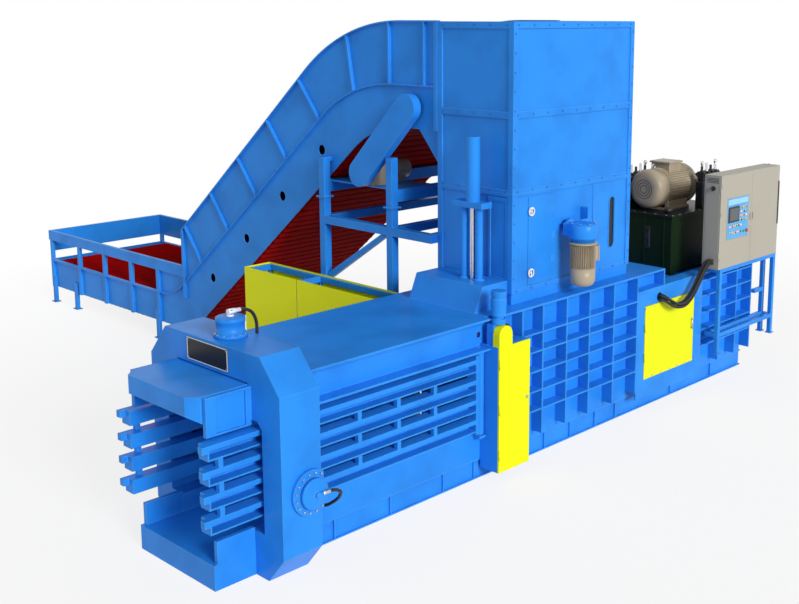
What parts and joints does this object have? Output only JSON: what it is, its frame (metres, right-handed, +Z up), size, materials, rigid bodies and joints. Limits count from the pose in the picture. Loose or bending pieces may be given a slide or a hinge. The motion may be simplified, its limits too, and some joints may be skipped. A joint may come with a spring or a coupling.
{
  "type": "baling press",
  "caption": "Horizontal baling press with squeeze doors, wire tying unit, feed hopper, slat conveyor, oil power pack and control cabinet.",
  "frame": {"origin": "on the floor under the base frame, below the middle of the feed hopper", "axes": "+X along the press towards the power pack, +Y along the conveyor away from the press, +Z up"},
  "size_m": [10.24, 12.24, 5.35],
  "materials": {
    "beige_paint": "satin enamel",
    "black_plastic": "matt",
    "black_rubber": "matt",
    "blue_paint": "satin enamel",
    "bright_steel": "machined",
    "cabinet_beige": "powder coat",
    "dark_metal": "dark coated",
    "green_paint": "satin enamel",
    "green_plastic": "gloss",
    "name_black": "satin",
    "red_paint": "satin enamel",
    "red_plastic": "gloss",
    "white_plastic": "gloss",
    "window_glass": "clear",
    "yellow_paint": "satin enamel"
  },
  "bodies": {
    "press": {"access_cover": "yellow_paint", "base_skid": "blue_paint", "cabinet_shell": "cabinet_beige", "cabinet_stand": "blue_paint", "cable_bundle": "black_rubber", "conveyor_frame": "blue_paint", "drive_guard": "blue_paint", "drive_motor": "beige_paint", "exit_floor": "blue_paint", "far_press_wall": "blue_paint", "far_side_frame": "blue_paint", "flange_bolts": "bright_steel", "hinge_pins": "bright_steel", "hopper_base": "blue_paint", "hopper_top": "blue_paint", "hydraulic_hoses": "black_rubber", "loading_table": "blue_paint", "main_cylinder": "dark_metal", "name_plate": "name_black", "near_press_wall": "blue_paint", "near_side_frame": "blue_paint", "needle_frame": "blue_paint", "needle_guard": "yellow_paint", "oil_tank": "green_paint", "portal_frame": "blue_paint", "pump_motor": "beige_paint", "rear_frame": "blue_paint", "roof": "blue_paint", "rotor_gear_motor": "beige_paint", "sight_window": "window_glass", "slat_belt": "red_paint", "squeeze_cylinders": "blue_paint", "support_frame": "blue_paint", "tamper_cylinder": "blue_paint", "twister_column": "blue_paint", "twister_guard": "yellow_paint", "twister_motor": "blue_paint", "valve_blocks": "dark_metal"},
    "ram": {"ram": "dark_metal", "main_piston_rod": "bright_steel"},
    "near_door": {"near_squeeze_door": "blue_paint"},
    "far_door": {"far_squeeze_door": "blue_paint"},
    "lid": {"squeeze_lid": "blue_paint"},
    "near_rod": {"near_squeeze_rod": "bright_steel"},
    "far_rod": {"far_squeeze_rod": "bright_steel"},
    "top_rod": {"top_squeeze_rod": "bright_steel"},
    "needles": {"needle_carriage": "bright_steel"},
    "twister": {"twister_shaft": "bright_steel"},
    "tamper": {"tamper_rod": "bright_steel"},
    "rotor": {"feed_rotor": "dark_metal"},
    "side_door": {"hopper_side_door": "blue_paint"},
    "latch_upper": {"door_latch_upper": "white_plastic"},
    "latch_lower": {"door_latch_lower": "white_plastic"},
    "cab_door_left": {"cabinet_left_door": "cabinet_beige"},
    "cab_door_right": {"cabinet_right_door": "cabinet_beige"},
    "start": {"start_button": "green_plastic"},
    "stop": {"emergency_stop": "red_plastic"},
    "isolator": {"isolator_knob": "black_plastic"},
    "head": {"head_shaft": "bright_steel"},
    "tail": {"tail_shaft": "bright_steel"}
  },
  "joints": [
    {"name": "ram_stroke", "type": "slide", "parent": "press", "child": "ram", "axis": [-1, 0, 0], "range_m": [0, 2.36]},
    {"name": "near_door_squeeze", "type": "hinge", "parent": "press", "child": "near_door", "pos_m": [-1.86, -0.7, 1.08], "axis": [0, 0, -1], "range_deg": [0, 1]},
    {"name": "far_door_squeeze", "type": "hinge", "parent": "press", "child": "far_door", "pos_m": [-1.86, 0.7, 1.08], "axis": [0, 0, 1], "range_deg": [0, 1]},
    {"name": "lid_squeeze", "type": "hinge", "parent": "press", "child": "lid", "pos_m": [-1.83, 0, 1.76], "axis": [0, -1, 0], "range_deg": [0, 1]},
    {"name": "near_rod_stroke", "type": "slide", "parent": "press", "child": "near_rod", "axis": [0, 1, 0], "range_m": [0, 0.055]},
    {"name": "far_rod_stroke", "type": "slide", "parent": "press", "child": "far_rod", "axis": [0, -1, 0], "range_m": [0, 0.055]},
    {"name": "top_rod_stroke", "type": "slide", "parent": "press", "child": "top_rod", "axis": [0, 0, -1], "range_m": [0, 0.055]},
    {"name": "needle_stroke", "type": "slide", "parent": "press", "child": "needles", "axis": [0, -1, 0], "range_m": [0, 1.42]},
    {"name": "twister_spin", "type": "hinge", "parent": "press", "child": "twister", "pos_m": [-1.685, -0.83, 0.9], "axis": [0, 0, 1], "continuous": true},
    {"name": "tamper_stroke", "type": "slide", "parent": "press", "child": "tamper", "axis": [0, 0, -1], "range_m": [0, 0.3]},
    {"name": "rotor_spin", "type": "hinge", "parent": "press", "child": "rotor", "pos_m": [-0.19, 0, 2.83], "axis": [0, 1, 0], "continuous": true},
    {"name": "side_door_swing", "type": "hinge", "parent": "press", "child": "side_door", "pos_m": [-0.406, -0.614, 2.72], "axis": [0, 0, 1], "range_deg": [0, 88]},
    {"name": "upper_latch_turn", "type": "hinge", "parent": "side_door", "child": "latch_upper", "pos_m": [-0.855, -0.608, 3.083], "axis": [0, -1, 0], "range_deg": [0, 90]},
    {"name": "lower_latch_turn", "type": "hinge", "parent": "side_door", "child": "latch_lower", "pos_m": [-0.855, -0.608, 2.328], "axis": [0, -1, 0], "range_deg": [0, 90]},
    {"name": "cab_left_swing", "type": "hinge", "parent": "press", "child": "cab_door_left", "pos_m": [2.822, -1.041, 2.5], "axis": [0, 0, -1], "range_deg": [0, 110]},
    {"name": "cab_right_swing", "type": "hinge", "parent": "press", "child": "cab_door_right", "pos_m": [4.528, -1.041, 2.5], "axis": [0, 0, 1], "range_deg": [0, 110]},
    {"name": "start_press", "type": "slide", "parent": "cab_door_left", "child": "start", "axis": [0, 1, 0], "range_m": [0, 0.005], "stiffness_N_per_m": 300},
    {"name": "stop_press", "type": "slide", "parent": "cab_door_left", "child": "stop", "axis": [0, 1, 0], "range_m": [0, 0.005]},
    {"name": "isolator_turn", "type": "hinge", "parent": "press", "child": "isolator", "pos_m": [2.82, -0.93, 2.993], "axis": [-1, 0, 0], "range_deg": [0, 90]},
    {"name": "head_spin", "type": "hinge", "parent": "press", "child": "head", "pos_m": [0, 1.07, 4.261], "axis": [1, 0, 0], "continuous": true},
    {"name": "tail_spin", "type": "hinge", "parent": "press", "child": "tail", "pos_m": [0, 10.66, 0.556], "axis": [1, 0, 0], "continuous": true}
  ],
  "couplings": [
    {"joint": "near_rod_stroke", "follows": "near_door_squeeze", "m_per_rad": 2.859},
    {"joint": "far_rod_stroke", "follows": "far_door_squeeze", "m_per_rad": 2.859},
    {"joint": "top_rod_stroke", "follows": "lid_squeeze", "m_per_rad": 2.97},
    {"joint": "tail_spin", "follows": "head_spin", "ratio": 1.0641}
  ]
}
